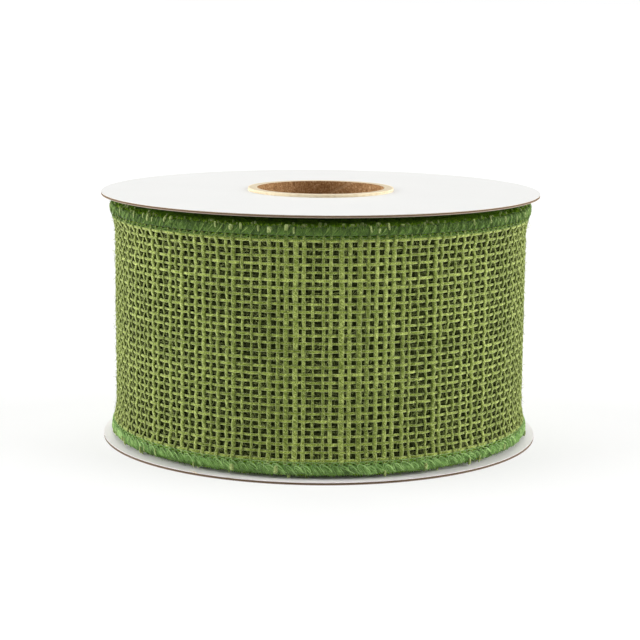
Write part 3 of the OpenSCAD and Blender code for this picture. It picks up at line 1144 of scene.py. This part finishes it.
innerTurnsTree = makeLengthTree("Inner Turns", makeShadedWoundCloth(), {
    "First Yarn": float(spiralEnd), "Last Yarn": float(spiralStart), "Points": 1700,
    "Wide": ribbonWidth - wound["margins"], "Thick": wound["clothThickness"],
}, stripHeight, 14)
innerCloth = runTree(innerTurnsTree, "innerTurnsCloth")
stripLength = 2 * math.pi * sum(clothRadius - roll["turnLift"] * (turn + 0.5)
                                for turn in range(2, round(wholeTurns) + 1))
stripLength * mm
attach(innerCloth, "spool")
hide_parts("wound_cloth")
innerEdgeTree = makeLengthTree("Inner Edge", deepThread, {
    "First Yarn": float(spiralEnd), "Last Yarn": float(firstYarn - tailYarns), "Points": 2400,
    "Wide": wound["beadHeight"], "Thick": wound["beadDepth"], "Upper": 0.0, "Sag": 0.0,
}, beadHeight, 6, tint=0.3)
for side, turns in (("Lower", wound["lowerBoundTurns"]), ("Upper", wound["boundTurns"])):
    sag = {"Lower": wound["sag"], "Upper": 0.0}[side]
    bead = runTree(innerEdgeTree, f"inner{side}Edges",
                   {"Upper": selvageLook[side]["Upper"], "Sag": sag})
    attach(bead, "spool")
    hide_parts(f"wound_{side.lower()}_selvage")
    for turn in range(turns):
        look = {**selvageLook[side], "Filaments": 5, "Points": 5, "Lean": 0.3, "Detail": 1,
                "Sag": sag, "Loops": 0}
        look["Fuzz"] = 7 if side == "Upper" and turn < 3 else 3
        edge = runTree(deepSelvageTree, f"inner{side}Edge{turn + 1}",
                       {"First Stitch": firstYarn - tailYarns - (turn + 1) * turnYarns,
                        "Stitch Count": turnYarns, **look})
        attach(edge, "spool")
print("inner turns")


# The free end, in four lengths: three meet at the hinges and stay where they are laid, and the last
# rides on the tip

freeEnd = {
    "bendBefore": 1.0,      # where the ribbon starts to bend before a hinge
    "bendAfter": 6.4,       # and ends beyond it, or it would sink into the roll
    "fray": 1.7,            # of the warp at the cut
    "wireOut": 1.3,         # how far the wires stand out of the cut
    "tapeWidth": 19.0, "tapeOnTail": 11.0, "tapeOnRoll": 13.0, "tapeThickness": 0.1,
    "toothPitch": 1.3, "toothDepth": 0.7,
    "tapeRise": 0.62,       # over the middle of the cloth
    "tapeStep": 3.0,        # length over which the tape steps down from the end to the roll
    "looseThreads": 5,      # at each corner of the cut
}
lengths = (
    ("Root", -27, 6, "spool", "tail_root", rootHinge),
    ("Middle", -21, 10, "tail_root", "tail_middle", middleHinge),
    ("Tip", -11, 6, "tail_middle", "tail_tip", tipHinge),
    ("Cut", -5, 5, "tail_tip", None, None),
)


def wireHeight(tree, size, strand, x):
    return size["Inset"] + strand * (size["Ribbon Width"] - size["Inset"] * 2.0)


def joinTail(piece, fromBody, hinge):
    # Rides the last length on the tip; a length with a hinge keeps its place, its placing baked
    # into its mesh
    if hinge is None:
        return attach(piece, fromBody)
    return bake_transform(piece)


wireTree = makeLengthTree("Edge Wires", edgeWire, {
    "First Yarn": -24.0, "Last Yarn": -21.0, "Points": 24, "Wide": roll["wire"],
    "Thick": roll["wire"], "Inset": roll["wiresFromEdge"],
}, wireHeight, 8, count=2.0)
rootYarn = (rootAngle - endAngle) / 360 * 2 * math.pi * clothRadius / weftPitch
outerWires = runTree(wireTree, "outerTurnWires",
                     {"First Yarn": float(-turnYarns), "Last Yarn": rootYarn, "Points": 480})
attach(outerWires, "spool")
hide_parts("outer_turn_lower_wire", "outer_turn_upper_wire")
for part, first, count, fromBody, toBody, hinge in lengths:
    values = {"Fray": freeEnd["fray"]} if part == "Cut" else {}
    woven = layCloth(f"tail{part}Cloth", first, count, ["underTailCloth"], **values)
    fibres = layHairs(f"tail{part}Fibres", first, count)
    edges = [bindEdge(f"tail{part}{side}Edge", side, first, count) for side in ("Lower", "Upper")]
    wireStart = max(first, rootYarn)
    wireEnd = first + count + (freeEnd["wireOut"] / weftPitch if part == "Cut" else 0.0)
    wires = runTree(wireTree, f"tail{part}Wires",
                    {"First Yarn": float(wireStart), "Last Yarn": float(wireEnd)})
    for piece in (woven, fibres, *edges, wires):
        joinTail(piece, fromBody, hinge)
    if hinge:
        node = f"tail_{part.lower()}"
        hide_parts(f"{node}_cloth")
        for piece, side in zip(edges, ("lower", "upper")):
            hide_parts(f"{node}_{side}_thread")
        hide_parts(f"{node}_lower_wire", f"{node}_upper_wire")


def makeLooseThreadTree(material):
    # Ends of the binding thread that hang out of the two corners of the cut
    tree, inputs, size = newTree("Loose Threads", {
        "Count": freeEnd["looseThreads"] * 2, "Ribbon Width": ribbonWidth, "Longest": 5.0,
    })

    def place(strand, share):
        upper = (strand * 2.0 / size["Count"]).floor()
        low = 0.3 + strand.chance(41.0) * 1.9
        long = size["Longest"] * (0.35 + strand.chance(42.0) * 0.65)
        bend = strand.jitter(43.0, 2.4)
        x = share * long - 0.6
        y = upper * size["Ribbon Width"] + (1.0 - upper * 2.0) * (low + bend * share * share)
        z = strand.jitter(44.0, 0.5) + share * share * (strand.chance(45.0) - 0.3)
        return x, y, z

    threads = strands(tree, size["Count"], 9.0, place,
                      lambda strand, share: 1.0 - share * 0.3, 0.2, 0.17, 5,
                      lambda strand: strand.chance(46.0) * 0.999, normals="MINIMUM_TWIST")
    closeTree(tree, [threads], material)
    return tree


loose = runTree(makeLooseThreadTree(overlockThread), "looseThreads")
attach(loose, "tail_tip")
print("free end")


def makeTapePiece():
    # Film laid flat, then put on the roll by the same tree as the ribbon. Its ends are cut on a
    # toothed blade and it steps down where the ribbon ends.
    columns, rows = 60, 45
    width, back, ahead = freeEnd["tapeWidth"], freeEnd["tapeOnTail"], freeEnd["tapeOnRoll"]
    shape = bmesh.new()
    grid = []
    for column in range(columns + 1):
        share = column / columns
        line = []
        for row in range(rows + 1):
            across = row / rows
            tooth = abs((across * width / freeEnd["toothPitch"]) % 1.0 - 0.5)
            tooth = tooth * freeEnd["toothDepth"]
            outward = 2 * share - 1
            x = -back + share * (back + ahead) + tooth * outward * min(1.0, abs(outward) * 4)
            drop = min(1.0, max(0.0, (x + 0.2) / freeEnd["tapeStep"]))
            drop = drop * drop * (3 - 2 * drop)
            yarns = 0.5 + 0.5 * math.cos(2 * math.pi * (x / weftPitch - 0.5))
            waves = yarns * math.cos(across * width / warpPitch * math.pi)
            rise = freeEnd["tapeRise"] + 0.05 * waves
            pucker = 0.12 * math.sin(across * 9.0 + x) * math.exp(-((x - 1.4) / 1.5) ** 2)
            line.append(shape.verts.new((x, (ribbonWidth - width) / 2 + across * width,
                                         rise + pucker - drop * roll["tailLift"])))
        grid.append(line)
    for column in range(columns):
        for row in range(rows):
            shape.faces.new((grid[column][row], grid[column + 1][row], grid[column + 1][row + 1],
                             grid[column][row + 1]))
    mesh = bpy.data.meshes.new("tailTape")
    shape.to_mesh(mesh)
    shape.free()
    piece = bpy.data.objects.new("tailTape", mesh)
    scene.collection.objects.link(piece)
    tree, inputs, size = newTree("Tape On Roll", {}, takesGeometry=True)
    closeTree(tree, [inputs.outputs["Geometry"]], clearTape)
    lay = piece.modifiers.new("Lay", "NODES")
    lay.node_group = tree
    thicken = piece.modifiers.new("Thickness", "SOLIDIFY")
    thicken.thickness = freeEnd["tapeThickness"] * mm
    thicken.offset = 1.0
    evaluated = piece.evaluated_get(bpy.context.evaluated_depsgraph_get())
    finished = bpy.data.meshes.new_from_object(evaluated)
    piece.modifiers.clear()
    piece.data = finished
    return piece


tape = makeTapePiece()
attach(tape, "tail_tip")
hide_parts("tail_tape")
print("tape")


# A knocked place on the rim of the lower flange

fray = {"angle": -121.5, "fibres": 7, "longest": 2.6, "spread": 1.5, "width": 0.17, "lift": 0.75}


def makeFrayTree(material):
    tree, inputs, size = newTree("Rim Fray", {
        "Count": fray["fibres"], "Longest": fray["longest"], "Spread": fray["spread"],
        "Width": fray["width"] * mm, "Lift": fray["lift"], "Angle": math.radians(fray["angle"]),
    })
    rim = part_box("lower_flange_inner_liner")[1] / mm

    def place(strand, share):
        long = size["Longest"] * (0.35 + strand.chance(51.0) * 0.65)
        start = strand.chance(52.0) * size["Spread"]
        turn = size["Angle"] + (start - share * long) / rim.x
        radius = rim.x - 0.06 - share * share * strand.chance(53.0) * 0.5
        z = rim.z - 0.1 + share * strand.chance(54.0) * size["Lift"]
        return radius * turn.cos() * mm, radius * turn.sin() * mm, z * mm

    fibres = strands(tree, size["Count"], 7.0, place,
                     lambda strand, share: 1.1 - share * 0.8, size["Width"], size["Width"], 4,
                     lambda strand: 0.5, normals="MINIMUM_TWIST")
    closeTree(tree, [fibres], material, wrapped=False)
    return tree


rimFray = runTree(makeFrayTree(tubeWrap), "lowerFlangeFray")
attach(rimFray, "spool")
print("rim fray")
